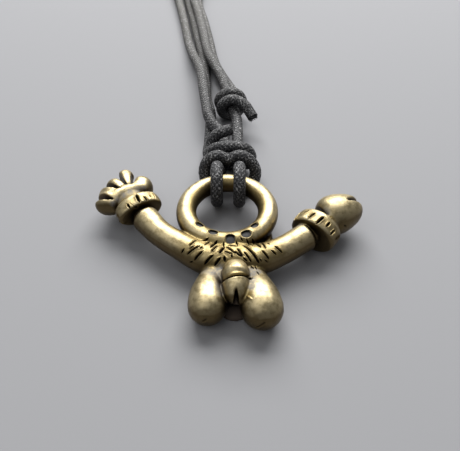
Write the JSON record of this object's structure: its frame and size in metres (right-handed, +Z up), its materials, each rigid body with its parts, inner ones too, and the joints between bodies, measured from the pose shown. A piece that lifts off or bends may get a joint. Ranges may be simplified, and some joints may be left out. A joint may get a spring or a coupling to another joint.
{
  "type": "phallus amulet",
  "caption": "Cast brass amulet with a hanging ring, a fist on the left arm, a glans on the right arm and a small phallus below, hitched on a black waxed cotton neck cord with sliding knots.",
  "frame": {"origin": "middle of the casting's outline, on the surface that its flat back lies on", "axes": "+X from the fist to the glans, +Y from the balls past the ring to the cord, +Z up from the flat back"},
  "size_m": [0.0469, 0.1404, 0.0111],
  "materials": {
    "amulet_brass": "worn cast brass, dark patina in the recesses",
    "black_cord": "waxed braided cotton, matt",
    "tie_tape": "woven cotton tape"
  },
  "bodies": {
    "amulet": {"amulet": "amulet_brass"},
    "cord": {"cord_hitch": "black_cord", "leg_one": "black_cord", "leg_two": "black_cord", "tail_one": "black_cord", "tail_two": "black_cord", "coil_one": "black_cord", "coil_two": "black_cord", "coil_tie": "tie_tape"},
    "lower_knot": {"lower_knot": "black_cord"},
    "upper_knot": {"upper_knot": "black_cord"}
  },
  "joints": [
    {"name": "cord_swing", "type": "hinge", "parent": "amulet", "child": "cord", "pos_m": [0, 0.01203, 0.00403], "axis": [1, 0, 0], "range_deg": [0, 130]},
    {"name": "lower_knot_slide", "type": "slide", "parent": "cord", "child": "lower_knot", "axis": [0, 1, 0], "range_m": [0, 0.003], "deforming": ["tail_one"]},
    {"name": "upper_knot_slide", "type": "slide", "parent": "cord", "child": "upper_knot", "axis": [-0.2, 0.9798, 0], "range_m": [0, 0.005], "deforming": ["tail_two"]}
  ]
}
